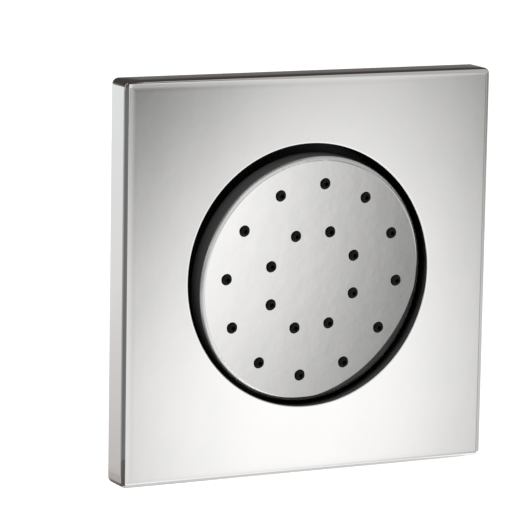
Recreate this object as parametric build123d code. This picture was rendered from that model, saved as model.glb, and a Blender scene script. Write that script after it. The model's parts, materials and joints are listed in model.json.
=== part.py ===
from build123d import *
import os
from math import cos, radians, sin, sqrt, tan

os.makedirs("parts", exist_ok=True)

# Driving dimensions in millimetres. The origin is the middle of the cover plate on the wall,
# +Y goes into the wall along the water way, -Y points at the bather and +Z is up.

# Cover plate
plate_size = 120.0          # square side
plate_depth = 10.4          # wall to front face
plate_skin = 2.2            # thickness of the front
plate_rim = 5.0             # thickness of the side walls
plate_corner = 2.0          # rounding of the upright corners
plate_edge = 1.8            # rounding of the front edges
plate_back_edge = 0.5       # rounding of the edges at the wall
hole_edge = 0.4             # rounding at the mouth of the round hole
collar_wall = 1.6           # collar behind the hole
collar_gap = 1.5            # collar end to bracket flange
rib_wall = 1.6              # ribs from the collar to the side walls
rib_height = 2.4

# Wall gasket, in a rebate at the back of the cover
gasket_depth = 1.6
gasket_lip = 2.0            # metal left outside the gasket
gasket_play = 0.3

# Pressed wall bracket
sheet = 1.5
bracket_margin = 2.0        # flange edge to the inside of the cover's walls
bracket_corner = 6.0
cup_dia = 50.0              # inner cup round the ball joint
shelf_play = 3.0            # spray head at full tilt to the shelf of the cup
bend = 0.8                  # inside radius of the pressed bends
wall_screw_dia = 5.0        # holes for the wall screws
wall_screw_inset = 8.0      # hole to flange edge
tab_width = 12.0            # tabs that carry the cover
tab_spacing = 48.0
tab_gap = 0.7               # tab end to the cover's front
tab_lip = 1.4
lug_play = 0.3              # cover lug to tab lip
lug_depth = 2.7
lug_inset = 1.0

# Grub screws through the lower wall of the cover
grub_dia = 4.0
grub_length = 6.0
grub_key = 2.0              # hexagon across flats
grub_key_depth = 2.5

# Spray face
face_skin = 1.6
face_edge = 1.4
skirt_wall = 1.5
skirt_depth = 6.0
outer_ring_dia = 58.6       # nozzle circles
inner_ring_dia = 30.5
outer_count = 12
inner_count = 8
first_nozzle_deg = 25.5     # from +X towards +Z

# Nozzle mat
mat_thick = 1.4
mat_margin = 2.4            # outer nozzle circle to the edge of the mat
nozzle_dia = 3.2
nozzle_tip_dia = 2.7
nozzle_reach = 0.9          # proud of the face
nozzle_bore = 1.0
nozzle_mouth = 1.9          # bore at the back of the mat
nozzle_play = 0.15

# Head shell and its screws
chamber_height = 2.0
shell_wall = 1.8
shell_play = 0.15
press_width = 1.0           # rim that presses on the mat
hub_dia = 18.0
hub_height = 1.1
hub_inner_dia = 15.0
hub_gap = 1.0               # hub's inner end to the mat
shell_rib_wall = 1.4
shell_rib_height = 1.2
shell_rib_count = 6
shell_rib_start = 19.0      # radius
screw_count = 6
screw_dia = 2.2
screw_head_dia = 4.0
screw_room = 0.175          # screw head to the mat's edge and to the skirt
screw_head_height = 1.6
screw_grip = 2.0            # depth in the boss
boss_dia = 3.6
boss_height = 1.0           # past the back of the mat

# Ball joint
ball_dia = 17.0
ball_cut = 5.8              # ball centre to its flat back
neck_dia = 10.0
neck_collar_dia = 12.4
neck_washer_thick = 0.8
water_bore = 6.0
neck_gap = 0.2              # neck's end to the hub's inner end
socket_space = 2.0          # ball to the socket's bore
socket_wall = 2.1
ring_reach = 4.2            # ball centre to the front of the friction ring
ring_back = 0.8
ring_squeeze = 0.6          # ring proud of the socket
nut_lip = 1.4
nut_wall = 1.35             # thread to the flats
nut_length = 9.0
lip_play = 0.5
seal_front = 2.2            # ball centre to the front of the rubber seal
seal_back = 6.2
seal_step = 0.5             # seal's bore to the inlet bore
socket_length = 11.2        # ball centre to the shoulder
flange_width = 2.4          # socket to the flats
flange_thick = 3.0
inlet_bore = 13.0
swing_play = 0.5            # hub to nut at full tilt
rim_play = 0.2              # spray face to the hole at full tilt

# Inlet and its fastening to the bracket
clamp_dia = 24.0            # M24 thread for the locknut
clamp_over = 0.5            # thread that shows behind the locknut
inlet_dia = 20.955          # G1/2 thread for the supply
inlet_length = 13.0
inlet_chamfer = 1.0
base_washer_thick = 1.0
lock_washer_thick = 1.0
washer_width = 3.7          # hole to edge of the flat washers
locknut_thick = 6.0
hole_play = 0.3             # clamp thread in the bracket and the washers
pocket_dia = 15.2           # for the regulator and the screen
pocket_depth = 9.0
regulator_length = 6.5
port_count = 8
port_dia = 1.8
port_circle = 8.0
ring_section = 1.3
groove_width = 1.6
screen_height = 1.6
screen_sheet = 0.6
screen_hole = 1.4
screen_pitch = 2.6
screen_rim = 0.7

# Play of fits
thread_play = 0.05
run_play = 0.08
insert_play = 0.1

# Aim of the spray head
tilt_limit = 7.5            # degrees from straight ahead, every way
rest_tilt = 6.5
rest_aim_deg = -54.0        # the way the head points, from +X towards +Z

# Levels of the spray head, straight ahead, front to back
face_y = -plate_depth
mat_y = face_y + face_skin
mat_back_y = mat_y + mat_thick
ceiling_y = mat_back_y + chamber_height
shell_back_y = ceiling_y + shell_wall
hub_y = shell_back_y + hub_height
hub_end_y = mat_back_y + hub_gap
ball_y = hub_y + hub_dia / 2 * tan(radians(tilt_limit)) + swing_play + nut_lip + ring_reach
ball_setback = ball_y - face_y

# Levels of the fixed joint, front to back
ring_y = ball_y - ring_reach
nut_y = ring_y - nut_lip
shoulder_y = ball_y + socket_length
cup_y = shoulder_y + base_washer_thick
cup_back_y = cup_y + sheet
locknut_y = cup_back_y + lock_washer_thick
spigot_y = locknut_y + locknut_thick + clamp_over
inlet_y = spigot_y + inlet_length
pocket_y = inlet_y - pocket_depth
screen_y = pocket_y + regulator_length

# Radii that follow from the fits
mat_r = outer_ring_dia / 2 + mat_margin
boss_circle_r = mat_r + screw_room + screw_head_dia / 2
skirt_inner_r = boss_circle_r + screw_head_dia / 2 + screw_room
face_r = skirt_inner_r + skirt_wall
ball_r = ball_dia / 2
socket_r = ball_r + socket_space
socket_thread_r = socket_r + socket_wall
nut_flats = 2 * (socket_thread_r + thread_play + nut_wall)
flange_flats = 2 * (socket_thread_r + flange_width)
clamp_r = clamp_dia / 2
inlet_r = inlet_dia / 2
washer_hole_r = clamp_r + hole_play
washer_r = washer_hole_r + washer_width
locknut_flats = 2 * washer_r
pocket_r = pocket_dia / 2
limit = radians(tilt_limit)
hole_r = ball_setback * sin(limit) + face_r * cos(limit) + rim_play
shelf_r = hole_r + collar_wall

# Screw heads at full tilt give the depth of the bracket's shelf
boss_y = mat_back_y + boss_height
shell_flange_y = boss_y + shell_wall
screw_end_y = shell_flange_y + screw_head_height
screw_reach = boss_circle_r + screw_head_dia / 2
shelf_y = ball_y - (ball_y - screw_end_y) * cos(limit) + screw_reach * sin(limit) + shelf_play

# Inside of the cover and the bracket's flange
pocket_half = plate_size / 2 - plate_rim
flange_half = pocket_half - bracket_margin
cover_inner_y = face_y + plate_skin
tab_front_y = cover_inner_y + tab_gap
grub_y = (tab_front_y - sheet) / 2


def turned(*outline):
    """Solid of revolution about the water axis, from (radius, depth) corners."""
    return revolve(make_face(Polyline(*outline, close=True)), Axis.Y)


def disc(radius, y_front, y_back):
    """Plain cylinder on the water axis."""
    return turned((0, y_front), (radius, y_front), (radius, y_back), (0, y_back))


def tube(inner_r, outer_r, y_front, y_back):
    """Plain ring on the water axis."""
    return turned((inner_r, y_front), (outer_r, y_front), (outer_r, y_back), (inner_r, y_back))


def slab(outline, y_front, y_back):
    """Prism along the water axis from a flat outline."""
    return extrude(Plane((0, y_back, 0), (1, 0, 0), (0, -1, 0)) * outline, amount=y_back - y_front)


def hexagon(across_flats, y_front, y_back):
    """Hexagonal prism on the water axis."""
    return slab(RegularPolygon(across_flats / 2, 6, major_radius=False), y_front, y_back)


def chamfered_blank(across_flats, y_front, y_back):
    """Round bar with 30 degree ends, which takes the points off a hexagon."""
    flat_r = across_flats / 2
    corner_r = flat_r / cos(radians(30))
    slope = (corner_r - flat_r) * tan(radians(30))
    return turned((0, y_front), (flat_r, y_front), (corner_r, y_front + slope),
                  (corner_r, y_back - slope), (flat_r, y_back), (0, y_back))


def block(x, y, z):
    """Box from (low, high) pairs."""
    middle = Pos((x[0] + x[1]) / 2, (y[0] + y[1]) / 2, (z[0] + z[1]) / 2)
    return middle * Box(x[1] - x[0], y[1] - y[0], z[1] - z[0])


def on_circle(radius, count, first_deg):
    """Places on a circle round the water axis, first one measured from +X towards +Z."""
    angles = [radians(first_deg + 360 * i / count) for i in range(count)]
    return [Pos(radius * cos(a), 0, radius * sin(a)) for a in angles]


def nozzle_places():
    """The two circles of nozzles share one ray."""
    outer = on_circle(outer_ring_dia / 2, outer_count, first_nozzle_deg)
    inner = on_circle(inner_ring_dia / 2, inner_count, first_nozzle_deg)
    return outer + inner


def screw_places():
    """Face screws stand between the rays of the outer nozzles."""
    return on_circle(boss_circle_r, screw_count, first_nozzle_deg + 180 / outer_count)


def tab_places():
    """Left and right of the middle."""
    return [-tab_spacing / 2, tab_spacing / 2]


def make_cover_plate():
    """Cast cover: square pan with a collar behind the hole, lugs and tapped holes."""
    pan = slab(Rectangle(plate_size, plate_size), face_y, 0)
    pan = fillet(pan.edges().filter_by(Axis.Y), plate_corner)
    pan = fillet(pan.faces().sort_by(Axis.Y)[0].edges(), plate_edge)
    pan = fillet(pan.faces().sort_by(Axis.Y)[-1].edges(), plate_back_edge)
    pan -= slab(Rectangle(2 * pocket_half, 2 * pocket_half), cover_inner_y, 0)
    rebate = plate_size - 2 * gasket_lip
    pan -= slab(Rectangle(rebate, rebate), -gasket_depth, 0)
    pan += disc(shelf_r, face_y + plate_skin / 2, -sheet - collar_gap)
    rib = block((hole_r + collar_wall / 2, pocket_half + plate_rim / 2),
                (face_y + plate_skin / 2, cover_inner_y + rib_height), (-rib_wall / 2, rib_wall / 2))
    for turn in (0, 90, 180, 270):
        pan += rib.rotate(Axis.Y, turn)
    for x in tab_places():
        half = tab_width / 2 - lug_inset
        lug_y = tab_front_y + sheet + lug_play
        pan += block((x - half, x + half), (lug_y, lug_y + lug_depth), (flange_half, pocket_half))
        tapped = Cylinder(grub_dia / 2 + thread_play, plate_rim)
        pan -= Pos(x, grub_y, -pocket_half - plate_rim / 2) * tapped
    pan -= disc(hole_r, face_y, 0)
    mouth = pan.edges().filter_by(GeomType.CIRCLE).filter_by(lambda e: abs(e.radius - hole_r) < 1e-6)
    return fillet(mouth.sort_by(Axis.Y)[0], hole_edge)


def make_wall_gasket():
    """Foam frame in the cover's rebate."""
    outer = plate_size - 2 * gasket_lip - 2 * gasket_play
    inner = 2 * pocket_half + 2 * gasket_play
    return slab(Rectangle(outer, outer) - Rectangle(inner, inner), -gasket_depth, 0)


def make_wall_bracket():
    """One pressed sheet: flange on the wall, shelf for the head's swing, cup for the joint."""
    cup_r = cup_dia / 2
    section = make_face(Polyline(
        (shelf_r, -sheet), (flange_half, -sheet), (flange_half, 0), (shelf_r + sheet, 0),
        (shelf_r + sheet, shelf_y + sheet), (cup_r + sheet, shelf_y + sheet),
        (cup_r + sheet, cup_back_y), (washer_hole_r, cup_back_y),
        (washer_hole_r, cup_y), (cup_r, cup_y), (cup_r, shelf_y), (shelf_r, shelf_y),
        close=True))
    inner = [(shelf_r + sheet, 0), (cup_r, cup_y), (shelf_r, shelf_y), (cup_r + sheet, shelf_y + sheet)]
    outer = [(shelf_r, -sheet), (cup_r + sheet, cup_back_y), (shelf_r + sheet, shelf_y + sheet),
             (cup_r, shelf_y)]
    for spots, radius in ((inner, bend), (outer, bend + sheet)):
        for spot in spots:
            corner = section.vertices().sort_by_distance((spot[0], spot[1], 0))[0]
            section = fillet(corner, radius)
    pressed = revolve(section, Axis.Y)
    square = RectangleRounded(2 * flange_half, 2 * flange_half, bracket_corner)
    pressed += slab(square, -sheet, 0) - disc(shelf_r + 2 * sheet + bend, -sheet, 0)
    for x in tab_places():
        across = (x - tab_width / 2, x + tab_width / 2)
        tab_z = flange_half - sheet
        pressed += block(across, (tab_front_y, 0), (tab_z, flange_half))
        pressed += block(across, (tab_front_y, tab_front_y + sheet), (tab_z, flange_half + tab_lip))
        pressed += block(across, (tab_front_y, 0), (-flange_half, -tab_z))
    screw_at = flange_half - wall_screw_inset
    places = on_circle(sqrt(2) * screw_at, 4, 45)
    return pressed - [place * disc(wall_screw_dia / 2, -sheet, 0) for place in places]


def make_grub_screws():
    """Two headless screws that press up on the lower tabs."""
    screw = Cylinder(grub_dia / 2, grub_length, align=(Align.CENTER, Align.CENTER, Align.MAX))
    key = extrude(RegularPolygon(grub_key / 2, 6, major_radius=False), amount=grub_key_depth)
    screw -= Pos(0, 0, -grub_length) * key
    return [Pos(x, grub_y, -flange_half) * screw for x in tab_places()]


def make_socket_body():
    """Turned brass body: socket, hexagon flange and the inlet thread."""
    front_y = ring_y + ring_squeeze
    seat_y = ball_y + seal_back
    body = turned(
        (socket_r, front_y), (socket_thread_r, front_y), (socket_thread_r, shoulder_y - flange_thick / 2),
        (clamp_r, shoulder_y - flange_thick / 2), (clamp_r, spigot_y), (inlet_r, spigot_y),
        (inlet_r, inlet_y - inlet_chamfer), (inlet_r - inlet_chamfer, inlet_y), (pocket_r, inlet_y),
        (pocket_r, pocket_y), (inlet_bore / 2, pocket_y), (inlet_bore / 2, seat_y), (socket_r, seat_y))
    flange = hexagon(flange_flats, shoulder_y - flange_thick, shoulder_y)
    flange &= chamfered_blank(flange_flats, shoulder_y - flange_thick, shoulder_y)
    return body + (flange - disc(clamp_r - socket_wall / 2, shoulder_y - flange_thick, shoulder_y))


def make_base_washer():
    """Flat rubber washer under the hexagon flange."""
    return tube(washer_hole_r, washer_r, shoulder_y, cup_y)


def make_lock_washer():
    """Flat steel washer behind the bracket."""
    return tube(washer_hole_r, washer_r, cup_back_y, locknut_y)


def make_locknut():
    """Thin hexagon nut on the clamp thread."""
    nut = hexagon(locknut_flats, locknut_y, locknut_y + locknut_thick)
    nut &= chamfered_blank(locknut_flats, locknut_y, locknut_y + locknut_thick)
    return nut - disc(clamp_r + thread_play, locknut_y, locknut_y + locknut_thick)


def make_retaining_nut():
    """Hexagon cap nut over the socket, with a lip in front of the friction ring."""
    back_y = nut_y + nut_length
    mouth_r = sqrt(ball_r**2 - ring_reach**2) + lip_play
    nut = hexagon(nut_flats, nut_y, back_y) & chamfered_blank(nut_flats, nut_y, back_y)
    nut -= disc(mouth_r, nut_y, ring_y)
    return nut - disc(socket_thread_r + thread_play, ring_y, back_y)


def make_friction_ring():
    """Plastic ring with a spherical seat on the front of the ball."""
    ring = disc(socket_r - insert_play, ring_y, ball_y - ring_back)
    return ring - Pos(0, ball_y, 0) * Sphere(ball_r + run_play)


def make_ball_seal():
    """Rubber ring with a spherical seat on the back of the ball."""
    bore_r = inlet_bore / 2 + seal_step
    seal = tube(bore_r, socket_r - insert_play, ball_y + seal_front, ball_y + seal_back)
    return seal - Pos(0, ball_y, 0) * Sphere(ball_r + run_play)


def make_flow_regulator():
    """Moulded insert with a ring of ports and a groove for its rubber ring."""
    outer_r = pocket_r - insert_play
    floor_r = outer_r - ring_section
    groove_y = pocket_y + (regulator_length - groove_width) / 2
    insert = turned(
        (0, pocket_y), (outer_r, pocket_y), (outer_r, groove_y), (floor_r, groove_y),
        (floor_r, groove_y + groove_width), (outer_r, groove_y + groove_width),
        (outer_r, screen_y), (0, screen_y))
    for place in on_circle(port_circle / 2, port_count, 0):
        insert -= place * disc(port_dia / 2, pocket_y, screen_y)
    return insert


def make_regulator_ring():
    """Rubber ring in the groove of the regulator."""
    middle_r = pocket_r - insert_play - ring_section / 2 + thread_play / 2
    middle = Pos(0, pocket_y + regulator_length / 2, 0) * Rot(90, 0, 0)
    return middle * Torus(middle_r, ring_section / 2)


def make_filter_screen():
    """Pressed screen with a rim, held in the mouth of the inlet."""
    outer_r = pocket_r - insert_play
    screen = turned((0, screen_y), (outer_r, screen_y), (outer_r, screen_y + screen_height),
                    (outer_r - screen_rim, screen_y + screen_height),
                    (outer_r - screen_rim, screen_y + screen_sheet), (0, screen_y + screen_sheet))
    hole = disc(screen_hole / 2, screen_y, screen_y + screen_sheet)
    for ring in (0, 1, 2):
        for place in on_circle(ring * screen_pitch, max(1, 6 * ring), 0):
            if ring * screen_pitch + screen_hole / 2 < outer_r - screen_rim:
                screen -= place * hole
    return screen


def make_swivel_ball():
    """Hollow ball with a neck that screws into the hub, turned by a key in its bore."""
    neck_end_y = hub_end_y + neck_gap
    ball = Pos(0, ball_y, 0) * Sphere(ball_r)
    ball &= disc(2 * ball_r, ball_y - 2 * ball_r, ball_y + ball_cut)
    ball += disc(neck_collar_dia / 2, hub_y, ball_y - ring_reach)
    ball += disc(neck_dia / 2, neck_end_y, ball_y - ring_reach)
    ball -= disc(water_bore / 2, neck_end_y, ball_y + ball_cut)
    return ball - hexagon(water_bore, neck_end_y, hub_y)


def make_neck_washer():
    """Rubber washer under the collar of the neck."""
    inner_r = neck_dia / 2 + insert_play
    return tube(inner_r, neck_collar_dia / 2, hub_y - neck_washer_thick, hub_y)


def make_head_shell():
    """Moulded back of the head: water chamber, hub for the ball and a flange for the screws."""
    outer_r = skirt_inner_r - shell_play
    press_r = mat_r - press_width
    bore_r = neck_dia / 2 + thread_play
    seat_r = neck_collar_dia / 2 + insert_play
    shell = turned(
        (seat_r, hub_y), (hub_dia / 2, hub_y), (hub_dia / 2, shell_back_y), (mat_r, shell_back_y),
        (mat_r, shell_flange_y), (outer_r, shell_flange_y), (outer_r, boss_y), (mat_r, boss_y),
        (mat_r, mat_back_y), (press_r, mat_back_y), (press_r, ceiling_y), (hub_inner_dia / 2, ceiling_y),
        (hub_inner_dia / 2, hub_end_y), (bore_r, hub_end_y), (bore_r, hub_y - neck_washer_thick),
        (seat_r, hub_y - neck_washer_thick))
    rib = block((shell_rib_start, press_r),
                (shell_back_y - shell_wall / 2, shell_back_y + shell_rib_height),
                (-shell_rib_wall / 2, shell_rib_wall / 2))
    for i in range(shell_rib_count):
        shell += rib.rotate(Axis.Y, 360 * i / shell_rib_count - first_nozzle_deg)
    for place in screw_places():
        shell -= place * disc(screw_dia / 2 + shell_play, boss_y, shell_flange_y)
    return shell


def make_face_screws():
    """Pan head screws from behind, in the bosses of the face."""
    shank_r = screw_dia / 2
    head_r = screw_head_dia / 2
    screw = turned((0, boss_y - screw_grip), (shank_r, boss_y - screw_grip), (shank_r, shell_flange_y),
                   (head_r, shell_flange_y), (head_r, screw_end_y - screw_head_height / 2),
                   (head_r - screw_head_height / 2, screw_end_y), (0, screw_end_y))
    return [place * screw for place in screw_places()]


def make_nozzle_mat():
    """Silicone mat with a tapered nozzle for each hole of the face."""
    root_r = nozzle_dia / 2
    tip_y = face_y - nozzle_reach
    nozzle = turned((0, tip_y), (nozzle_tip_dia / 2, tip_y), (root_r, face_y), (root_r, mat_y), (0, mat_y))
    bore = turned((0, tip_y), (nozzle_bore / 2, tip_y), (nozzle_mouth / 2, mat_back_y), (0, mat_back_y))
    mat = disc(mat_r, mat_y, mat_back_y)
    mat += [place * nozzle for place in nozzle_places()]
    return mat - [place * bore for place in nozzle_places()]


def make_spray_face():
    """Perforated cup with a rounded rim and bosses for the screws."""
    cup = turned((0, face_y), (face_r, face_y), (face_r, face_y + skirt_depth),
                 (skirt_inner_r, face_y + skirt_depth), (skirt_inner_r, mat_y), (0, mat_y))
    rim = cup.edges().filter_by(GeomType.CIRCLE).sort_by(Axis.Y)[0]
    cup = fillet(rim, face_edge)
    cup += [place * disc(boss_dia / 2, mat_y, boss_y) for place in screw_places()]
    pilot = disc(screw_dia / 2 + thread_play, boss_y - screw_grip, boss_y)
    cup -= [place * pilot for place in screw_places()]
    hole = disc(nozzle_dia / 2 + nozzle_play, face_y, mat_y)
    return cup - [place * hole for place in nozzle_places()]


def aimed(piece):
    """Turns a piece of the spray head about the ball's centre to the aim at rest."""
    aim = radians(rest_aim_deg)
    return piece.rotate(Axis((0, ball_y, 0), (-sin(aim), 0, cos(aim))), rest_tilt)


fixed = {
    "cover_plate": make_cover_plate(),
    "wall_gasket": make_wall_gasket(),
    "wall_bracket": make_wall_bracket(),
    "grub_screws": Compound(make_grub_screws()),
    "socket_body": make_socket_body(),
    "base_washer": make_base_washer(),
    "lock_washer": make_lock_washer(),
    "locknut": make_locknut(),
    "flow_regulator": make_flow_regulator(),
    "regulator_ring": make_regulator_ring(),
    "filter_screen": make_filter_screen(),
    "ball_seal": make_ball_seal(),
    "retaining_nut": make_retaining_nut(),
    "friction_ring": make_friction_ring(),
}
swivelling = {
    "swivel_ball": make_swivel_ball(),
    "neck_washer": make_neck_washer(),
    "head_shell": make_head_shell(),
    "face_screws": Compound(make_face_screws()),
    "nozzle_mat": make_nozzle_mat(),
    "spray_face": make_spray_face(),
}
pieces = fixed | {name: aimed(piece) for name, piece in swivelling.items()}
for name, piece in pieces.items():
    export_step(piece, f"parts/{name}.step")

print("ball centre y", round(ball_y, 4), "hole radius", round(hole_r, 3), "inlet end y", round(inlet_y, 3))
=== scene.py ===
"""Looks of a square shower body jet: chrome cover, swivelling spray head, brass body and wall bracket.

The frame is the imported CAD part, with the wall at y = 0 and the spray face towards -Y.
Lengths are in metres.
"""

import json
from math import cos, pi, radians, sin, tau

import bmesh
import bpy
from mathutils import Matrix, Vector


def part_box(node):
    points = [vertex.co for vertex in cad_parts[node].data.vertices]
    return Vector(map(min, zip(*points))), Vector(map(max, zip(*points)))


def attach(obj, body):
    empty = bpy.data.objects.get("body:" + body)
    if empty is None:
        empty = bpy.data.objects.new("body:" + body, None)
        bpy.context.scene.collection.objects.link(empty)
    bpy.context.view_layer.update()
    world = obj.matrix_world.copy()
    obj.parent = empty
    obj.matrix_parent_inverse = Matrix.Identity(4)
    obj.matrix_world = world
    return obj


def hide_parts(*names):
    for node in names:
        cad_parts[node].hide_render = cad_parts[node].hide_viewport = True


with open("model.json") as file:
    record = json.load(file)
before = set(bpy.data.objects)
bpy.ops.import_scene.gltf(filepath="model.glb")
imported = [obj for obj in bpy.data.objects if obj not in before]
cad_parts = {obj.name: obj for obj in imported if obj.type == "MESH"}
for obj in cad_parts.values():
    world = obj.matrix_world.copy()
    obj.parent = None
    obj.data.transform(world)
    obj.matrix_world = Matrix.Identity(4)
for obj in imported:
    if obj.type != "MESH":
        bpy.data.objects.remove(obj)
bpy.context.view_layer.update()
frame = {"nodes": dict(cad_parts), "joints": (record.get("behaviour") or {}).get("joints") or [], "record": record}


# Wall bracket
# Drawn from steel sheet and dipped in black paint: a square flange for four wall screws, tabs for the cover,
# and a stepped cup that sinks into the wall round the ball joint. The black also stands in as painted shade of the
# inside, which the wall would close off.
mm = 0.001
noise_low, noise_high = 0.3, 0.7


def new_finish(name, metallic=0.0):
    """An empty material with its node tree and its shader."""
    finish = bpy.data.materials.new(name)
    finish.use_nodes = True
    shader = finish.node_tree.nodes["Principled BSDF"]
    shader.inputs["Metallic"].default_value = metallic
    return finish, finish.node_tree, shader


def add(tree, kind, settings=None, **sockets):
    """Adds a node, sets its properties, and sets or links the sockets that are named."""
    node = tree.nodes.new(kind)
    for name, value in (settings or {}).items():
        setattr(node, name, value)
    for name, value in sockets.items():
        fill(tree, node.inputs[name.replace("_", " ")], value)
    return node


def fill(tree, socket, value):
    """Links a socket to another one, or sets it to a constant."""
    if isinstance(value, bpy.types.NodeSocket):
        tree.links.new(value, socket)
    else:
        socket.default_value = value


def own_place(tree):
    """The piece's own coordinates."""
    return add(tree, "ShaderNodeTexCoord").outputs["Object"]


def noise(tree, scale, detail=3.0, stretch=(1, 1, 1)):
    """Noise on the piece's own coordinates, in waves per metre."""
    fitted = add(tree, "ShaderNodeMapping", Vector=own_place(tree), Scale=stretch).outputs["Vector"]
    return add(tree, "ShaderNodeTexNoise", Vector=fitted, Scale=scale, Detail=detail).outputs["Fac"]


def between(tree, pattern, low, high, start=noise_low, end=noise_high):
    """Spreads a pattern over a range of values."""
    limits = {"From_Min": start, "From_Max": end, "To_Min": low, "To_Max": high}
    return add(tree, "ShaderNodeMapRange", Value=pattern, **limits).outputs["Result"]


def tint(tree, shader, pattern, dark, light):
    """Colours the shader between two colours by a pattern."""
    ramp = add(tree, "ShaderNodeValToRGB", Fac=pattern)
    for stop, place, colour in zip(ramp.color_ramp.elements, (noise_low, noise_high), (dark, light)):
        stop.position = place
        stop.color = (*colour, 1)
    tree.links.new(ramp.outputs["Color"], shader.inputs["Base Color"])


def rough(tree, shader, pattern, low, high):
    """Varies the shader's roughness by a pattern."""
    tree.links.new(between(tree, pattern, low, high), shader.inputs["Roughness"])


def relief(tree, shader, pattern, depth, strength=1.0):
    """Raises the surface by a pattern, to a depth in metres."""
    bump = add(tree, "ShaderNodeBump", Height=pattern, Distance=depth, Strength=strength)
    tree.links.new(bump.outputs["Normal"], shader.inputs["Normal"])


def dress(finish, *names):
    """Gives CAD nodes a finish."""
    for name in names:
        for slot in frame["nodes"][name].material_slots:
            slot.material = finish


def make_coated_steel_and_shade():
    """Thin black satin paint over sheet, also dark as painted shade of the closed-in inside: a slight orange peel,
    and greyer where it lies thin.
    """
    finish, tree, shader = new_finish("black_coated_steel_painted_shade")
    peel = noise(tree, 700, 3)
    # Near black colour: the bracket's paint, and painted shade of the inside behind the cover.
    tint(tree, shader, noise(tree, 45, 5), (0.012, 0.012, 0.013), (0.026, 0.026, 0.028))
    rough(tree, shader, noise(tree, 160, 4), 0.38, 0.52)
    relief(tree, shader, peel, 0.02 * mm, 0.4)
    return finish


dress(make_coated_steel_and_shade(), "wall_bracket")


# Socket body
# Turned from a brass bar: socket for the ball, hexagon flange to hold it by, clamp thread for the locknut
# and pipe thread for the supply. The threads are real helices here, cut into the plain CAD cylinders.
hard_edge_deg = 35


def to_mesh(name, shape, sharp_deg=hard_edge_deg):
    """Turns a bmesh into a smooth mesh with its hard edges sharp."""
    mesh = bpy.data.meshes.new(name)
    shape.to_mesh(mesh)
    shape.free()
    mesh.shade_smooth()
    mesh.set_sharp_from_angle(angle=radians(sharp_deg))
    return mesh


def close_up(name, shape, sharp_deg=hard_edge_deg):
    """Turns a closed bmesh into a mesh with its poles merged and its faces outwards."""
    same_point, sliver = 1e-7, 1e-8
    bmesh.ops.remove_doubles(shape, verts=shape.verts, dist=same_point)
    bmesh.ops.dissolve_degenerate(shape, edges=shape.edges, dist=sliver)
    bmesh.ops.recalc_face_normals(shape, faces=shape.faces)
    return to_mesh(name, shape, sharp_deg)


def band(shape, row, following, closed=True):
    """Faces between two rows of points. A closed row also joins its last point to its first."""
    faces = []
    for i in range(len(row) if closed else len(row) - 1):
        j = (i + 1) % len(row)
        faces.append(shape.faces.new((row[i], row[j], following[j], following[i])))
    return faces


def lathe(name, rows, columns):
    """A closed mesh round the y axis. A row is (radius, y), and its radius may depend on the angle."""
    shape = bmesh.new()
    angles = [tau * i / columns for i in range(columns)]
    rings = []
    for radius, y in rows:
        radii = [radius(a) if callable(radius) else radius for a in angles]
        rings.append([shape.verts.new((r * cos(a), y, r * sin(a))) for r, a in zip(radii, angles)])
    for ring, following in zip(rings, rings[1:] + rings[:1]):
        band(shape, ring, following)
    return close_up(name, shape)


def spread(start, end, steps):
    """Even values from one to another, both included."""
    return [start + (end - start) * i / steps for i in range(steps + 1)]


def thread(radius, start, end, pitch, steps=10):
    """Rows of a 60 degree thread that fades in and out over one pitch."""
    depth = 0.64 * pitch
    crest_flat = 0.12

    def row(y):
        fade = min(1, (y - start) / pitch, (end - y) / pitch)

        def radius_at(angle):
            wave = abs(2 * ((y / pitch - angle / tau) % 1) - 1)
            cut_share = min(1, max(0, (wave - crest_flat) / (1 - 2 * crest_flat)))
            return radius - depth * fade * cut_share

        return radius_at, y

    return [row(y) for y in spread(start, end, int(steps * (end - start) / pitch))]


def hexagon_flange(across_flats, start, end, steps=6):
    """Rows of a hexagon with its corners chamfered at 30 degrees on both sides."""
    flat_r = across_flats / 2
    slope = 0.577
    chamfer = (flat_r / cos(pi / 6) - flat_r) * slope

    def row(y):
        cone = flat_r + min(y - start, end - y) / slope
        return lambda angle: min(cone, flat_r / cos((angle + pi / 6) % (pi / 3) - pi / 6)), y

    return [row(y) for y in spread(start, start + chamfer, steps) + spread(end - chamfer, end, steps)]


def turning_marks(tree, spacing):
    """Rings that a lathe tool leaves round the y axis."""
    texture_radians = 20
    look = {"wave_type": "RINGS", "rings_direction": "Y"}
    waves = {"Scale": tau / texture_radians / spacing, "Distortion": 1.5, "Detail": 2.0}
    return add(tree, "ShaderNodeTexWave", look, Vector=own_place(tree), **waves).outputs["Fac"]


def make_turned_brass():
    """Bare machined brass, a little tarnished, with rings from the lathe."""
    finish, tree, shader = new_finish("turned_brass", metallic=1.0)
    marks = turning_marks(tree, 1.57 * mm)
    tint(tree, shader, noise(tree, 120, 5), (0.60, 0.42, 0.17), (0.74, 0.55, 0.25))
    rough(tree, shader, noise(tree, 300, 3), 0.24, 0.40)
    relief(tree, shader, marks, 0.008 * mm, 0.4)
    return finish


def show(name, mesh, finishes, body):
    """Makes a mesh the piece that stands for the CAD node of the same name."""
    piece = bpy.data.objects.new(name + "_piece", mesh)
    bpy.context.scene.collection.objects.link(piece)
    for finish in finishes:
        mesh.materials.append(finish)
    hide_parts(name)
    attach(piece, body)


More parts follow.
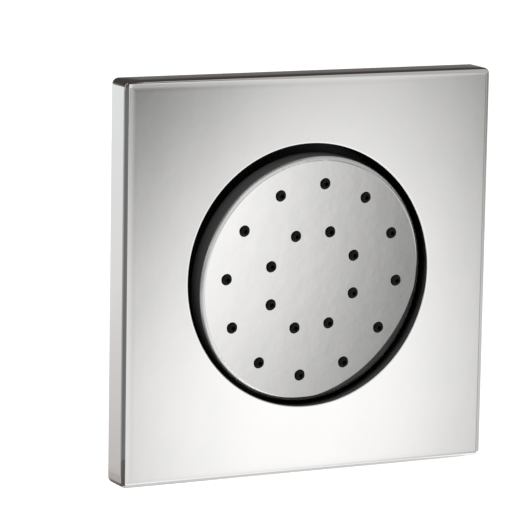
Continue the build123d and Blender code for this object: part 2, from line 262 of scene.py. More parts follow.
def make_socket_body():
    """Outline from the socket's mouth, along the outside to the inlet, and back through the bore."""
    low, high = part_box("socket_body")
    front, back = low.y, high.y
    shoulder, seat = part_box("base_washer")[0].y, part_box("ball_seal")[1].y
    mounts = {mount["name"]: mount for mount in frame["record"]["mounts"]}
    inlet_r, inlet_long, inlet_pitch = mounts["inlet"]["dims"]["r_mm"] * mm, 13.0 * mm, 1.814 * mm
    cap_r, cap_pitch, clamp_r, clamp_pitch = 12.6 * mm, 1.0 * mm, 12.0 * mm, 1.5 * mm
    socket_r, bore_r, pocket_r, pocket_deep = 10.5 * mm, 6.5 * mm, 7.6 * mm, 9.0 * mm
    flange_thick, flange_flats, chamfer, mouth = 3.0 * mm, 30.0 * mm, 1.0 * mm, 0.2 * mm
    flange, spigot, pocket = shoulder - flange_thick, back - inlet_long, back - pocket_deep
    rows = [(socket_r, front)]
    rows += thread(cap_r, front, flange, cap_pitch, steps=8)
    rows += hexagon_flange(flange_flats, flange, shoulder)
    rows += thread(clamp_r, shoulder, spigot, clamp_pitch)
    rows += thread(inlet_r, spigot, back - chamfer / 2, inlet_pitch)
    rows += [(inlet_r - chamfer, back), (pocket_r + mouth, back), (pocket_r, back - mouth)]
    rows += [(pocket_r, pocket), (bore_r, pocket), (bore_r, seat), (socket_r, seat)]
    return lathe("socket_body_mesh", rows, columns=96)


turned_brass = make_turned_brass()
show("socket_body", make_socket_body(), [turned_brass], "root")


# Base washer, lock washer and locknut
# Black rubber washer under the flange, flat steel washer and thin brass nut behind the bracket: together
# they clamp the socket body in the bottom of the bracket's cup.
def grey(level):
    """A neutral colour."""
    return (level, level, level)


def make_rubber(name, shade, sheen):
    """Moulded black rubber with a dull bloom and a fine grain."""
    finish, tree, shader = new_finish(name)
    shader.inputs["Specular IOR Level"].default_value = sheen
    grain = noise(tree, 900, 4)
    bloom = (1.8 * shade, 1.8 * shade, 1.75 * shade)
    tint(tree, shader, noise(tree, 150, 4), grey(shade), bloom)
    rough(tree, shader, grain, 0.50, 0.68)
    relief(tree, shader, grain, 0.02 * mm, 0.5)
    return finish


def make_sheet_steel():
    """Bright rolled sheet: long fine lines one way, and cloudy patches."""
    finish, tree, shader = new_finish("rolled_stainless_steel", metallic=1.0)
    lines = noise(tree, 90, 5, stretch=(1, 1, 40))
    tint(tree, shader, noise(tree, 60, 4), (0.50, 0.51, 0.52), (0.60, 0.61, 0.62))
    rough(tree, shader, lines, 0.26, 0.42)
    relief(tree, shader, lines, 0.01 * mm, 0.3)
    return finish


seal_rubber = make_rubber("seal_rubber", 0.012, 0.4)
dress(seal_rubber, "base_washer")
dress(make_sheet_steel(), "lock_washer")
dress(turned_brass, "locknut")


# Flow regulator, its ring and the filter screen
# White moulded insert with ports that keeps the flow even, a rubber ring round it, and a punched steel
# screen that keeps grit out of the inlet. All three push into the pocket behind the inlet thread.
def make_plastic(name, dark, light, sheen):
    """Moulded plastic, a little cloudy, with a fine grain from the mould."""
    finish, tree, shader = new_finish(name)
    tint(tree, shader, noise(tree, 90, 4), dark, light)
    rough(tree, shader, noise(tree, 220, 3), sheen, sheen + 0.14)
    relief(tree, shader, noise(tree, 1400, 3), 0.01 * mm, 0.35)
    return finish


def make_screen_steel():
    """Thin bright sheet with a fine, slightly mottled skin."""
    finish, tree, shader = new_finish("punched_screen_steel", metallic=1.0)
    tint(tree, shader, noise(tree, 500, 4), (0.52, 0.53, 0.54), (0.68, 0.68, 0.69))
    rough(tree, shader, noise(tree, 900, 3), 0.22, 0.36)
    relief(tree, shader, noise(tree, 700, 3), 0.01 * mm, 0.4)
    return finish


dress(make_plastic("white_insert_plastic", (0.70, 0.70, 0.67), (0.82, 0.82, 0.79), 0.34), "flow_regulator")
dress(seal_rubber, "regulator_ring")
dress(make_screen_steel(), "filter_screen")


# Ball seal, swivel ball, friction ring and retaining nut
# Rubber seal behind a chromed brass ball, and in front of it a pale low-friction ring that the brass cap nut
# presses on the ball, so that the head stays where it is aimed.
def make_chrome(name, haze, ripple, depth):
    """Bright chrome on a polished blank: a clean mirror with a trace of ripple from the polishing."""
    finish, tree, shader = new_finish(name, metallic=1.0)
    tint(tree, shader, noise(tree, 40, 3), (0.790, 0.790, 0.786), (0.815, 0.813, 0.808))
    rough(tree, shader, noise(tree, 400, 4), haze, haze + 0.03)
    relief(tree, shader, noise(tree, ripple, 3), depth)
    return finish


dress(seal_rubber, "ball_seal")
dress(make_chrome("ball_chrome", 0.05, 150, 0.01 * mm), "swivel_ball")
dress(make_plastic("ring_plastic", (0.62, 0.60, 0.54), (0.72, 0.70, 0.64), 0.30), "friction_ring")
dress(turned_brass, "retaining_nut")


# Head shell and its washer
# Dark grey moulded back of the spray head with a hub for the ball's neck, radial ribs and screw bosses, and
# the rubber washer that seals the neck in the hub.
dress(seal_rubber, "neck_washer")
dress(make_plastic("shell_plastic", (0.045, 0.046, 0.048), (0.075, 0.076, 0.078), 0.38), "head_shell")


# Nozzle mat
# One moulding of black silicone: a mat that lies behind the face, with a soft tapered nozzle for each hole,
# twelve on the outer circle and eight on the inner one. The tips stand proud, so that lime scale rubs off.
tilt = {joint["name"]: joint for joint in frame["joints"]}["tilt"]
rest_tilt = radians(-sum(tilt["range_deg"]) / 2)
to_ball = Matrix.Translation(tilt["pos_m"])
aimed = to_ball @ Matrix.Rotation(rest_tilt, 4, Vector(tilt["axis"])) @ to_ball.inverted()
face_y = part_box("cover_plate")[0].y
outer_ring_r, outer_count = 29.3 * mm, 12
inner_ring_r, inner_count = 15.25 * mm, 8
first_nozzle_deg = 25.5


def make_copies_tree():
    """Geometry Nodes: copies of the object's own mesh on a circle round the y axis."""
    tree = bpy.data.node_groups.new("copies_on_circle", "GeometryNodeTree")
    inputs = {"Geometry": "Geometry", "Radius": "Float", "Count": "Int",
              "First angle": "Float", "Finish": "Material"}
    for name, kind in inputs.items():
        tree.interface.new_socket(name, in_out="INPUT", socket_type="NodeSocket" + kind)
    tree.interface.new_socket("Geometry", in_out="OUTPUT", socket_type="NodeSocketGeometry")
    given = add(tree, "NodeGroupInput").outputs
    circle = add(tree, "GeometryNodeMeshCircle", Vertices=given["Count"], Radius=given["Radius"])
    turn = add(tree, "ShaderNodeCombineXYZ", Z=given["First angle"])
    points = circle.outputs["Mesh"]
    for rotation in (turn.outputs["Vector"], (pi / 2, 0, 0)):
        points = add(tree, "GeometryNodeTransform", Geometry=points, Rotation=rotation).outputs["Geometry"]
    copies = add(tree, "GeometryNodeInstanceOnPoints", Points=points, Instance=given["Geometry"])
    real = add(tree, "GeometryNodeRealizeInstances", Geometry=copies.outputs["Instances"])
    dressed = add(tree, "GeometryNodeSetMaterial", Geometry=real.outputs["Geometry"],
                  Material=given["Finish"])
    add(tree, "NodeGroupOutput", Geometry=dressed.outputs["Geometry"])
    return tree


copies_tree = make_copies_tree()


def copies_on_circle(mesh, radius, count, first_deg, finish):
    """A plain mesh of the copies."""
    holder = bpy.data.objects.new("copies", mesh)
    bpy.context.scene.collection.objects.link(holder)
    pattern = holder.modifiers.new("copies", "NODES")
    pattern.node_group = copies_tree
    values = {"Radius": radius, "Count": count, "First angle": radians(first_deg), "Finish": finish}
    for socket in copies_tree.interface.items_tree:
        if socket.in_out == "INPUT" and socket.name in values:
            pattern[socket.identifier] = values[socket.name]
    return baked(holder)


def baked(holder):
    """The mesh that an object's modifiers make of it. The object is removed."""
    made = bpy.data.meshes.new_from_object(holder.evaluated_get(bpy.context.evaluated_depsgraph_get()))
    bpy.data.objects.remove(holder)
    return made


def joined(name, meshes, place=Matrix.Identity(4)):
    """Several meshes as one, moved to its place."""
    shape = bmesh.new()
    for mesh in meshes:
        shape.from_mesh(mesh)
    bmesh.ops.transform(shape, matrix=place, verts=shape.verts)
    return to_mesh(name, shape)


def cut(mesh, tool):
    """A mesh with another one taken away from it."""
    holder = bpy.data.objects.new("blank", mesh)
    cutter = bpy.data.objects.new("tool", tool)
    for each in (holder, cutter):
        bpy.context.scene.collection.objects.link(each)
    boolean = holder.modifiers.new("cut", "BOOLEAN")
    boolean.operation, boolean.solver, boolean.object = "DIFFERENCE", "EXACT", cutter
    made = baked(holder)
    bpy.data.objects.remove(cutter)
    return made


def rod(name, radius, start, end):
    """A plain round rod along the y axis, a tool that cuts a round hole."""
    return lathe(name, [(0, start), (radius, start), (radius, end), (0, end)], columns=32)


def turns(start_deg, end_deg, steps):
    """Even angles over a rounded edge, in radians."""
    return [radians(degrees) for degrees in spread(start_deg, end_deg, steps)]


def arc(centre_r, centre_y, radius, start_deg, end_deg, steps=5):
    """Rows of a rounded edge. The angle is 0 outwards, 90 to the front and -90 to the back."""
    angles = turns(start_deg, end_deg, steps)
    return [(centre_r + radius * cos(a), centre_y - radius * sin(a)) for a in angles]


def make_nozzle_mat(finish):
    """The mat, pierced for the bores, with the nozzles set into it."""
    mat_r, mat_edge, front, back = 31.7 * mm, 0.3 * mm, face_y + 1.6 * mm, face_y + 3.0 * mm
    root_r, tip_r, tip_y, lip = 1.6 * mm, 1.35 * mm, face_y - 0.9 * mm, 0.25 * mm
    mouth_r, throat_r, outlet_r, mouth_y = 0.95 * mm, 0.6 * mm, 0.65 * mm, back - 0.4 * mm
    outline = [(mouth_r, mouth_y), (throat_r, tip_y + lip), (outlet_r, tip_y)]
    outline += arc(tip_r - lip, tip_y + lip, lip, 90, 0)
    outline += [(root_r, face_y), (root_r, mouth_y)]
    nozzle = lathe("nozzle", outline, columns=32)
    bore = rod("bore", mouth_r, front - 1.0 * mm, back + 1.0 * mm)
    rim = arc(mat_r - mat_edge, front + mat_edge, mat_edge, 90, 0)
    mat = lathe("mat", [(0, front), *rim, (mat_r, back), (0, back)], columns=96)
    nozzles = []
    for radius, count in ((outer_ring_r, outer_count), (inner_ring_r, inner_count)):
        mat = cut(mat, copies_on_circle(bore, radius, count, first_nozzle_deg, finish))
        nozzles.append(copies_on_circle(nozzle, radius, count, first_nozzle_deg, finish))
    return joined("nozzle_mat_mesh", [mat, *nozzles], aimed)


nozzle_silicone = make_rubber("nozzle_silicone", 0.003, 0.15)
show("nozzle_mat", make_nozzle_mat(nozzle_silicone), [nozzle_silicone], "spray_head")


# Spray face
# Brass cup, drawn and drilled, polished and chromed on its front and satin on its rounded edge. Its skirt,
# which swings inside the collar of the cover, is painted dull and dark from that edge back: painted shade of the
# gap.
def reckon(tree, operation, first, second=0.0):
    """The result of one operation on one or two values."""
    node = add(tree, "ShaderNodeMath", {"operation": operation})
    for socket, value in zip(node.inputs, (first, second)):
        fill(tree, socket, value)
    return node.outputs["Value"]


def measure(tree, place, origin, direction):
    """How far a place lies from an origin along a direction, in lengths of that direction."""
    offset = add(tree, "ShaderNodeVectorMath", {"operation": "SUBTRACT"})
    along = add(tree, "ShaderNodeVectorMath", {"operation": "DOT_PRODUCT"})
    fill(tree, offset.inputs[0], place)
    fill(tree, offset.inputs[1], origin)
    fill(tree, along.inputs[0], offset.outputs["Vector"])
    fill(tree, along.inputs[1], direction / direction.length_squared)
    return along.outputs["Value"]


def darken_skirt_as_shade(finish):
    """Makes the chrome satin on the face's rounded edge, and paints the skirt behind it dull and dark as shade of
    the gap.
    """
    rim_start, rim_end, rim_haze = 0.03 * mm, 0.12 * mm, 0.3
    # The skirt's dark, dull, non-metal look from here on is painted shade of its gap inside the collar.
    shade_start, shade_end, shade_tone, shade_haze = 0.75 * mm, 0.9 * mm, 0.058, 0.2
    tree = finish.node_tree
    shader = tree.nodes["Principled BSDF"]
    bright, haze = [shader.inputs[name].links[0].from_socket for name in ("Base Color", "Roughness")]
    inwards = aimed.to_3x3() @ Vector((0, 1, 0))
    depth = measure(tree, own_place(tree), aimed @ Vector((0, face_y, 0)), inwards)
    rim = between(tree, depth, 0.0, rim_haze, rim_start, rim_end)
    skirt_shade = between(tree, depth, 0.0, 1.0, shade_start, shade_end)
    # skirt_shade darkens the colour, dulls it and takes the metal away: painted shade.
    shade_factor = between(tree, skirt_shade, 1.0, shade_tone, 0.0, 1.0)
    shaded_colour = add(tree, "ShaderNodeVectorMath", {"operation": "SCALE"}, Vector=bright, Scale=shade_factor)
    duller = reckon(tree, "ADD", rim, between(tree, skirt_shade, 0.0, shade_haze, 0.0, 1.0))
    tree.links.new(shaded_colour.outputs["Vector"], shader.inputs["Base Color"])
    tree.links.new(reckon(tree, "ADD", haze, duller), shader.inputs["Roughness"])
    tree.links.new(between(tree, skirt_shade, 1.0, 0.0, 0.0, 1.0), shader.inputs["Metallic"])
    return finish


dress(darken_skirt_as_shade(make_chrome("face_chrome", 0.05, 170, 0.02 * mm)), "spray_face")


# Face screws
# Six small pan head screws of stainless steel with cross recesses, driven from behind through the shell into
# the bosses of the face: they clamp the edge of the mat.
corner_signs = ((-1, -1), (1, -1), (1, 1), (-1, 1))


def make_screw_steel():
    """Bright cold-headed steel with a satin skin."""
    finish, tree, shader = new_finish("screw_steel", metallic=1.0)
    tint(tree, shader, noise(tree, 600, 4), (0.46, 0.47, 0.48), (0.60, 0.60, 0.61))
    rough(tree, shader, noise(tree, 900, 3), 0.24, 0.38)
    relief(tree, shader, noise(tree, 1500, 3), 0.008 * mm, 0.5)
    return finish


def make_blade(reach, width, top, depth, taper=0.45):
    """A tapered blade, a tool that cuts one slot of a cross recess down from y = top."""
    shape = bmesh.new()
    ends = []
    for level, size in ((top + depth, 1.0), (top - depth, taper)):
        ends.append([shape.verts.new((i * reach * size, level, k * width)) for i, k in corner_signs])
        shape.faces.new(ends[-1])
    band(shape, *ends)
    return close_up("blade", shape)


def make_face_screws(finish):
    """Screws on their circle, between the outer nozzles. The slots are turned off the lathe's own lines."""
    circle_r, count, first_deg = 33.875 * mm, 6, first_nozzle_deg + 180 / outer_count
    head_r, head_thick, crown, head_back = 2.0 * mm, 1.6 * mm, 0.8 * mm, face_y + 7.4 * mm
    shank_r, point_r, point_long, shank_end = 1.1 * mm, 0.6 * mm, 0.3 * mm, face_y + 2.0 * mm
    slot_reach, slot_width, slot_depth, slots_deg = 1.1 * mm, 0.25 * mm, 0.8 * mm, (8, 98)
    pitch, head_front = 0.8 * mm, head_back - head_thick
    outline = [(0, shank_end), (point_r, shank_end)]
    outline += thread(shank_r, shank_end + point_long, head_front, pitch, steps=6)
    outline += [(head_r, head_front), *arc(head_r - crown, head_back - crown, crown, 0, -90), (0, head_back)]
    screw = lathe("screw", outline, columns=24)
    for turn_deg in slots_deg:
        blade = make_blade(slot_reach, slot_width, head_back, slot_depth)
        blade.transform(Matrix.Rotation(radians(turn_deg), 4, "Y"))
        screw = cut(screw, blade)
    return joined("face_screws_mesh", [copies_on_circle(screw, circle_r, count, first_deg, finish)], aimed)


screw_steel = make_screw_steel()
show("face_screws", make_face_screws(screw_steel), [screw_steel], "spray_head")


# Wall gasket
# Closed-cell foam, cut as a square frame. It lies in a rebate of the cover, is pressed on the wall with it,
# and keeps splashes from behind it.
def make_foam():
    """Dark grey foam with small open pores on its cut faces, painted darker where they sink in: painted shade."""
    finish, tree, shader = new_finish("gasket_foam")
    pores_and_shade = add(tree, "ShaderNodeTexVoronoi", Vector=own_place(tree), Scale=1400.0).outputs["Distance"]
    # The pore pattern both sinks the pores and darkens them: painted shade in the pores.
    tint(tree, shader, pores_and_shade, (0.030, 0.030, 0.032), (0.085, 0.085, 0.088))
    rough(tree, shader, noise(tree, 300, 3), 0.80, 0.95)
    relief(tree, shader, pores_and_shade, 0.12 * mm, 0.6)
    return finish


dress(make_foam(), "wall_gasket")


# Cover plate
# Zinc casting, polished and chromed: a square pan with a round hole, a collar behind it, ribs, lugs for the
# bracket's tabs and two tapped holes. The polishing crowns its sides and lets the border of its front down.
# From the middle of the hole's lip inwards the casting is dull and dark: thin plating, and painted shade of the
# hole.
cover_half, pocket_half, hole_r, collar_wall = 60.0 * mm, 55.0 * mm, 39.411 * mm, 1.6 * mm
inner_y = face_y + 2.2 * mm


def square_loop(half, corner, y, along=14, round_steps=6):
    """Points round a square with rounded corners, from +X towards +Z."""
    points = []
    for quarter in range(4):
        turn = Matrix.Rotation(-quarter * pi / 2, 3, "Y")
        straight = [(half, (half - corner) * i / along) for i in range(along)]
        bend = turns(0, 90, round_steps)
        curve = [(half - corner + corner * cos(a), half - corner + corner * sin(a)) for a in bend]
        rest = [((half - corner) * (1 - i / along), half) for i in range(1, along)]
        points += [turn @ Vector((x, y, z)) for x, z in straight + curve + rest]
    return points


def round_loop(radius, y):
    """As many points as a square loop has, evenly round a circle."""
    count = len(square_loop(1, 0.1, 0))
    return [Vector((radius * cos(tau * i / count), y, radius * sin(tau * i / count))) for i in range(count)]


def make_block(x, y, z):
    """A rectangular block between two limits each way, with its edges broken."""
    broken_edge = 0.2 * mm
    size = [b - a for a, b in (x, y, z)]
    middle = [(a + b) / 2 for a, b in (x, y, z)]
    shape = bmesh.new()
    bmesh.ops.create_cube(shape, size=1, matrix=Matrix.Translation(middle) @ Matrix.Diagonal((*size, 1)))
    bmesh.ops.bevel(shape, geom=shape.edges, offset=broken_edge, segments=2, affect="EDGES")
    return close_up("block", shape)


def make_pan():
    """Loops from the rim at the wall, over the front, into the hole, and back behind the front."""
    corner, edge, back_edge, crown, side_steps = 2.0 * mm, 1.75 * mm, 0.5 * mm, 0.11 * mm, 6
    edge_start_deg, edge_end_deg, edge_steps = 1.5, 87.7, 8
    border, roll_off, fade, border_steps = 4.0 * mm, 0.03 * mm, 30.0 * mm, 8
    lip, flat_rim, front_corner, inner_corner = 0.4 * mm, 0.3 * mm, 0.2 * mm, 0.3 * mm
    collar_y, rebate_y, rebate_half = -3.0 * mm, -1.6 * mm, 58.0 * mm

    def sunk(points, part):
        """Points let down by a part of the roll-off, which fades out towards the right side."""
        for point in points:
            point.y += part * roll_off * min((cover_half - point.x) / fade, 1)
        return points

    loops = []
    for a in turns(0, 90, 3):
        inset = back_edge * (1 - sin(a))
        loops.append(square_loop(cover_half - inset, corner - inset, back_edge * (cos(a) - 1)))
    for i in range(1, side_steps):
        inset = crown * (i / side_steps) ** 2
        y = -back_edge + (face_y + back_edge + edge) * i / side_steps
        loops.append(square_loop(cover_half - inset, corner - inset, y))
    for a in turns(edge_start_deg, edge_end_deg, edge_steps):
        inset = crown + (edge - crown) * (1 - cos(a))
        y = face_y + edge * (1 - sin(a))
        loops.append(sunk(square_loop(cover_half - inset, corner - inset, y), 1))
    for t in spread(0, 1, border_steps)[1:]:
        inset = edge + (border - edge) * t
        loops.append(sunk(square_loop(cover_half - inset, front_corner, face_y), (1 - t) ** 3))
    loops.append(square_loop(cover_half - border - flat_rim, front_corner, face_y))
    loops.append(round_loop(hole_r + lip + flat_rim, face_y))
    for a in turns(0, 90, 6):
        loops.append(round_loop(hole_r + lip * (1 - sin(a)), face_y + lip * (1 - cos(a))))
    shade_from_loop = len(loops) - 4
    loops += [round_loop(hole_r, collar_y), round_loop(hole_r + collar_wall, collar_y)]
    loops += [round_loop(hole_r + collar_wall, inner_y), square_loop(pocket_half, inner_corner, inner_y)]
    for half, y in ((pocket_half, rebate_y), (rebate_half, rebate_y), (rebate_half, 0)):
        loops.append(square_loop(half, inner_corner, y))
    shape = bmesh.new()
    rings = [[shape.verts.new(point) for point in loop] for loop in loops]
    for number, (ring, following) in enumerate(zip(rings, rings[1:] + rings[:1])):
        for face in band(shape, ring, following):
            # From the middle of the lip inwards the faces take the dark inside finish: painted shade of the hole.
            face.material_index = 0 if number < shade_from_loop else 1
    return close_up("pan", shape, sharp_deg=30)


def make_cover_plate():
    """The pan with its two tapped holes, a rib on each side of the collar and two lugs above it."""
    rib_half, rib_tall, sunk_in = 0.8 * mm, 2.4 * mm, 1.0 * mm
    tapped_r, tapped_y, tapped_x = 2.05 * mm, -4.5 * mm, (-24 * mm, 24 * mm)
    drill_outside, drill_inside = 10 * mm, 5 * mm
    lug_half, lug_thick, lug_y, lug_z = 5 * mm, 2.7 * mm, face_y + 4.7 * mm, 53 * mm
    pan, extras = make_pan(), []
    for quarter in range(4):
        rib_x = (hole_r + collar_wall / 2, pocket_half + sunk_in)
        rib = make_block(rib_x, (inner_y - sunk_in, inner_y + rib_tall), (-rib_half, rib_half))
        rib.transform(Matrix.Rotation(quarter * pi / 2, 4, "Y"))
        extras.append(rib)
    for x in tapped_x:
        drill = rod("drill", tapped_r, -cover_half - drill_outside, drill_inside - pocket_half)
        drill.transform(Matrix.Translation((x, tapped_y, 0)) @ Matrix.Rotation(pi / 2, 4, "X"))
        pan = cut(pan, drill)
        lug_x = (x - lug_half, x + lug_half)
        extras.append(make_block(lug_x, (lug_y, lug_y + lug_thick), (lug_z, pocket_half + sunk_in)))
    return joined("cover_plate_mesh", [pan, *extras])


def make_inside_plating_and_shade():
    """The inside and back of the casting and the inner half of the hole's lip: thin, dull plating, painted dark as
    shade of the hole and the collar.
    """
    finish, tree, shader = new_finish("inside_plating_painted_shade", metallic=1.0)
    # Near black colour: thin plating, darkened as painted shade of the recess.
    tint(tree, shader, noise(tree, 150, 4), (0.042, 0.041, 0.041), (0.066, 0.064, 0.063))
    rough(tree, shader, noise(tree, 600, 4), 0.30, 0.42)
    relief(tree, shader, noise(tree, 800, 3), 0.02 * mm, 0.4)
    return finish


cover_finishes = [make_chrome("cover_chrome", 0.04, 70, 0.02 * mm), make_inside_plating_and_shade()]
show("cover_plate", make_cover_plate(), cover_finishes, "root")


# Grub screws
# Two headless steel screws with hexagon sockets. They are turned into the cover's tapped holes from below,
# against the bracket's tabs, and hold the cover on the bracket.
dress(screw_steel, "grub_screws")


# Studio
# Pale paper floor, a wide soft lamp from above and a white room. Cards that only mirrored light meets hang
# round the part for its chrome: a pale reflector in front on the right, dark and pale cloths elsewhere.
scene = bpy.context.scene


def place_stage(name, mesh, finish, mirrored_only=True):
    """Puts a floor or a card in the scene."""
    thing = bpy.data.objects.new(name, mesh)
    scene.collection.objects.link(thing)
    mesh.materials.append(finish)
    if mirrored_only:
        thing.visible_camera = thing.visible_diffuse = thing.visible_shadow = False


def towards(azimuth_deg, elevation_deg):
    """Unit vector from the part: azimuth 0 is -Y, and +X is to the right."""
    a, e = radians(azimuth_deg), radians(elevation_deg)
    return Vector((sin(a) * cos(e), -cos(a) * cos(e), sin(e)))


def flat_card(name, reach, level):
    """A square mesh that lies flat at a level."""
    mesh = bpy.data.meshes.new(name)
    corners = [(i * reach, k * reach, level) for i, k in corner_signs]
    mesh.from_pydata(corners, [], [range(len(corners))])
    return mesh


def hang_cloth(name, finish, radius, azimuths, elevations, centre=Vector()):
    """Hangs a curved cloth round a centre, between two azimuths and two elevations."""
    columns, rows = 48, 12
    shape = bmesh.new()
    lines = []
    for elevation in spread(*elevations, rows):
        span = [towards(azimuth, elevation) * radius for azimuth in spread(*azimuths, columns)]
        lines.append([shape.verts.new(centre + point) for point in span])
    for line, above in zip(lines, lines[1:]):
        band(shape, line, above, closed=False)
    place_stage(name, to_mesh(name, shape), finish)


def emission(name):
    """A material that only glows, with its tree and its emission node."""
    finish, tree, shader = new_finish(name)
    tree.nodes.remove(shader)
    glow = add(tree, "ShaderNodeEmission")
    tree.links.new(glow.outputs["Emission"], tree.nodes["Material Output"].inputs["Surface"])
    return finish, tree, glow


def plain_glow(name, colour):
    """A finish that glows evenly."""
    finish, tree, glow = emission(name)
    glow.inputs["Color"].default_value = (*colour, 1)
    return finish


def shaded_glow(name, axis, *stops):
    """A finish whose glow follows one of the coordinates, by (place, colour) stops in rising order."""
    finish, tree, glow = emission(name)
    along = add(tree, "ShaderNodeSeparateXYZ", Vector=own_place(tree)).outputs[axis]
    low, high = stops[0][0], stops[-1][0]
    ramp = add(tree, "ShaderNodeValToRGB", Fac=between(tree, along, 0.0, 1.0, low, high))
    while len(ramp.color_ramp.elements) < len(stops):
        ramp.color_ramp.elements.new(0.5)
    for element, (where, colour) in zip(ramp.color_ramp.elements, stops):
        element.position = (where - low) / (high - low)
        element.color = (*colour, 1)
    tree.links.new(ramp.outputs["Color"], glow.inputs["Color"])
    return finish


def seen_directly(tree):
    """1 for rays from the camera and for those that metal or glass send on."""
    path = add(tree, "ShaderNodeLightPath").outputs
    seen = reckon(tree, "MAXIMUM", path["Is Camera Ray"], path["Is Glossy Ray"])
    return reckon(tree, "MAXIMUM", seen, path["Is Transmission Ray"])


def make_floor():
    """White paper, a little brighter where it is seen, so that it meets the white behind it."""
    reach, level, brighter = 8.0, -0.3, 0.3
    finish, tree, shader = new_finish("white_paper")
    tint(tree, shader, noise(tree, 3, 3), grey(0.84), grey(0.86))
    shader.inputs["Roughness"].default_value = 0.9
    shader.inputs["Specular IOR Level"].default_value = 0.0
    shader.inputs["Emission Color"].default_value = (1, 1, 1, 1)
    lift = between(tree, seen_directly(tree), 0.0, brighter, 0.0, 1.0)
    tree.links.new(lift, shader.inputs["Emission Strength"])
    place_stage("floor", flat_card("floor", reach, level), finish, mirrored_only=False)


def egg_patch(tree, right, up):
    """A soft egg-shaped patch, narrower at its top: 1 in its middle and 0 far from it."""
    middle_right, middle_up, width, height = -0.0185, -0.0076, 0.103, 0.172
    turn_deg, taper, softness = -9.0, 0.194, 2.54
    cosine, sine = cos(radians(turn_deg)), sin(radians(turn_deg))
    off_right = reckon(tree, "SUBTRACT", right, middle_right)
    off_up = reckon(tree, "SUBTRACT", up, middle_up)
    across = reckon(tree, "ADD", reckon(tree, "MULTIPLY", off_right, cosine / width),
                    reckon(tree, "MULTIPLY", off_up, sine / width))
    along = reckon(tree, "SUBTRACT", reckon(tree, "MULTIPLY", off_up, cosine / height),
                   reckon(tree, "MULTIPLY", off_right, sine / height))
    narrowing = reckon(tree, "SUBTRACT", 1.0, reckon(tree, "MULTIPLY", along, taper))
    across = reckon(tree, "DIVIDE", across, narrowing)
    away = reckon(tree, "ADD", reckon(tree, "POWER", across, 2.0), reckon(tree, "POWER", along, 2.0))
    falling = reckon(tree, "MULTIPLY", reckon(tree, "POWER", away, softness / 2), -1.0)
    return reckon(tree, "EXPONENT", falling)


def outer_share(tree, past_right, past_up, height):
    """The share of an even glow past the patch's window: most at its upper left corner and right side."""
    edge_most, edge_fade = 0.28, 0.03
    corner_most, corner_fade = 0.7, 0.04
    right_most_low, right_most_high, right_heights, right_fade = 0.6, 0.36, (0.02, 0.12), 0.02
    outside = reckon(tree, "ADD", reckon(tree, "ABSOLUTE", past_right), reckon(tree, "ABSOLUTE", past_up))
    past_corner = reckon(tree, "MINIMUM", reckon(tree, "MULTIPLY", past_right, -1.0), past_up)
    right_most = between(tree, height, right_most_low, right_most_high, *right_heights)
    edge = between(tree, outside, 0.0, edge_most, 0.0, edge_fade)
    corner = between(tree, past_corner, 0.0, corner_most, 0.0, corner_fade)
    right = reckon(tree, "MULTIPLY", between(tree, past_right, 0.0, 1.0, 0.0, right_fade), right_most)
    return reckon(tree, "MAXIMUM", reckon(tree, "MAXIMUM", edge, corner), right)


def make_reflector():
    """Pale cloth in front, with a bright patch that the cover and the spray face mirror."""
    azimuth_deg, elevation_deg, distance, nearest = 28, -14, 0.5, 0.05
    window_right, window_up = (-0.099, 0.112), (-0.100, 0.133)
    dim, bright, outer_glow = 0.116, 1.235, 1.15
    finish, tree, glow = emission("soft_reflector")
    aim, right = towards(azimuth_deg, elevation_deg), towards(azimuth_deg + 90, 0)
    place = own_place(tree)
    depth = reckon(tree, "MAXIMUM", measure(tree, place, Vector(), aim), nearest)
    inside, past = [], []
    for direction, (low, high) in ((right, window_right), (aim.cross(right), window_up)):
        offset = reckon(tree, "MULTIPLY", measure(tree, place, Vector(), direction), distance)
        reach = reckon(tree, "DIVIDE", offset, depth)
        inside.append(reckon(tree, "MINIMUM", reckon(tree, "MAXIMUM", reach, low), high))
        past.append(reckon(tree, "SUBTRACT", reach, inside[-1]))
    patch = between(tree, egg_patch(tree, *inside), dim, bright, 0.0, 1.0)
    level = add(tree, "ShaderNodeMix", Factor=outer_share(tree, *past, inside[1]), A=patch, B=outer_glow)
    tree.links.new(level.outputs["Result"], glow.inputs["Strength"])
    glow.inputs["Color"].default_value = (1.0, 0.993, 0.986, 1)
    hang_cloth("reflector", finish, distance, (-24, 50), (-40, 61))
    hang_cloth("reflector_right", finish, distance, (50, 100), (12, 75))


def make_surround():
    """Dark cloth above the horizon, all round and overhead, a little lighter low down."""
    low, middle, high = (0.17, 0.16, 0.15), (0.085, 0.077, 0.070), (0.062, 0.055, 0.050)
    finish = shaded_glow("dark_surround", "Z", (0.47, low), (0.57, middle), (0.68, high))
    hang_cloth("surround", finish, 3.0, (-180, 180), (1, 90))


def make_left_cloth():
    """Dark cloth on the left, from beside the camera to behind the part, which the cover's edge mirrors."""
    near, far = (-0.82, grey(0.40)), (0.7, grey(0.53))
    finish = shaded_glow("left_cloth", "Y", near, (-0.7, grey(0.20)), (0.0, grey(0.16)), far)
    hang_cloth("left_cloth", finish, 0.9, (-142, -24), (-19, 8))


def make_pale_cloths():
    """Pale cloths above and below the dark one on the left, which the rim of the spray face mirrors."""
    finish = plain_glow("upper_cloth", (0.82, 0.814, 0.808))
    hang_cloth("upper_cloth", finish, 0.5, (-115, -24), (4, 62))
    hang_cloth("lower_cloth", finish, 0.5, (-85, -24), (-40, -19))


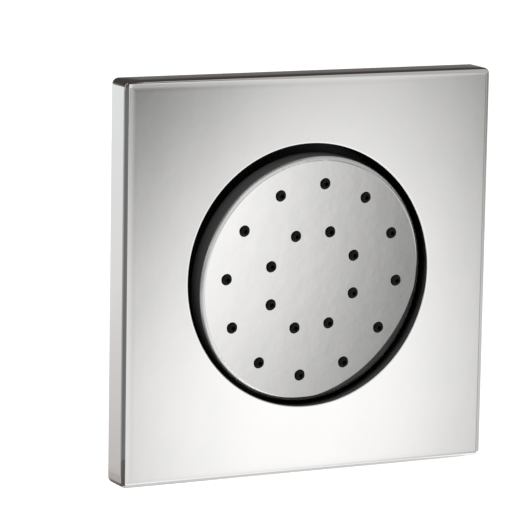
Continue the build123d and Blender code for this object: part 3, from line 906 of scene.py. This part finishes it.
def make_corner_flags():
    """Dark flags off the cover's left corners, so that its dark edge runs on round them."""
    dark, light, fade, radius = (0.10, 0.097, 0.094), grey(0.19), 20 * mm, 70 * mm
    low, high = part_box("cover_plate")
    lower_stops = ((low.z - fade, dark), (low.z + fade, light))
    upper_stops = ((high.z - fade, light), (high.z + fade, dark))
    finish = shaded_glow("corner_flag", "Z", *lower_stops, *upper_stops)
    for name, level, elevations in (("upper_flag", high.z, (-18, 72)), ("lower_flag", low.z, (-72, -6))):
        hang_cloth(name, finish, radius, (-110, -24), elevations, Vector((low.x, low.y, level)))


def make_right_cloth():
    """Grey cloth on the right, lighter towards the floor, which the cover's right edge mirrors."""
    low, middle, high = (0.62, 0.60, 0.59), (0.70, 0.67, 0.66), (0.30, 0.275, 0.26)
    finish = shaded_glow("right_cloth", "Z", (-0.25, low), (-0.17, middle), (-0.05, high))
    hang_cloth("right_cloth", finish, 0.9, (49, 120), (-30, 3))


def make_back_cloth():
    """Dark cloth behind, which the corner at the bottom of the cover's left side mirrors."""
    low, middle, high = (0.10, 0.092, 0.088), (0.20, 0.186, 0.178), (0.50, 0.47, 0.455)
    finish = shaded_glow("back_cloth", "Z", (-0.20, low), (-0.17, middle), (-0.13, high))
    hang_cloth("back_cloth", finish, 0.3, (155, 285), (-60, -24))


def make_side_card():
    """Pale card behind on the left, darker and warmer low down, which the cover's left side mirrors."""
    low, middle, high = (0.58, 0.545, 0.525), (0.85, 0.835, 0.83), (0.90, 0.92, 0.93)
    finish = shaded_glow("side_card", "Z", (-0.20, low), (-0.10, middle), (0.0, high))
    hang_cloth("side_card", finish, 0.6, (-205, -142), (-20, 4))


def make_under_card():
    """Grey card below, which the cover's bottom edge mirrors."""
    reach, level = 0.16, -0.25
    finish = plain_glow("under_card", (0.75, 0.73, 0.72))
    place_stage("under_card", flat_card("under_card", reach, level), finish)


def make_lights():
    """Wide soft lamp from above, and a white room that is dimmer for the light it throws."""
    lamp_from, thrown, seen = (-30, 62), 0.42, 1.0
    lamp = bpy.data.lights.new("overhead", "SUN")
    lamp.energy, lamp.angle = 2.0, radians(60)
    holder = bpy.data.objects.new("overhead", lamp)
    scene.collection.objects.link(holder)
    holder.rotation_euler = towards(*lamp_from).to_track_quat("Z", "Y").to_euler()
    holder.visible_glossy = False
    scene.world = bpy.data.worlds.new("white_room")
    scene.world.use_nodes = True
    tree = scene.world.node_tree
    background = tree.nodes["Background"]
    background.inputs["Color"].default_value = (1, 1, 1, 1)
    strength = between(tree, seen_directly(tree), thrown, seen, 0.0, 1.0)
    tree.links.new(strength, background.inputs["Strength"])


make_floor()
make_reflector()
make_surround()
make_left_cloth()
make_pale_cloths()
make_corner_flags()
make_right_cloth()
make_back_cloth()
make_side_card()
make_under_card()
make_lights()


# Camera
# Stands about a metre in front, to the left and a little above, with a long lens, and is rolled by about
# a degree, as in the photograph.
def make_camera():
    """Camera that looks at the part from its azimuth and elevation."""
    azimuth_deg, elevation_deg, roll_deg = -25.85, 9.58, 0.99
    distance, shift_right, shift_up = 1037.59 * mm, 9.28 * mm, -3.72 * mm
    focal_pixels, image_width, sensor_width = 3468.0, 526, 36.0
    back = towards(azimuth_deg, elevation_deg)
    level_right = (-back).cross(Vector((0, 0, 1))).normalized()
    level_up = level_right.cross(-back)
    cosine, sine = cos(radians(roll_deg)), sin(radians(roll_deg))
    right = level_right * cosine + level_up * sine
    up = level_up * cosine - level_right * sine
    eye = back * distance - right * shift_right - up * shift_up
    lens = bpy.data.cameras.new("camera")
    lens.sensor_width = sensor_width
    lens.lens = focal_pixels * sensor_width / image_width
    holder = bpy.data.objects.new("camera", lens)
    scene.collection.objects.link(holder)
    turn = Matrix((right, up, back)).transposed().to_4x4()
    holder.matrix_world = Matrix.Translation(eye) @ turn
    scene.camera = holder


make_camera()
scene.view_settings.view_transform = "Standard"
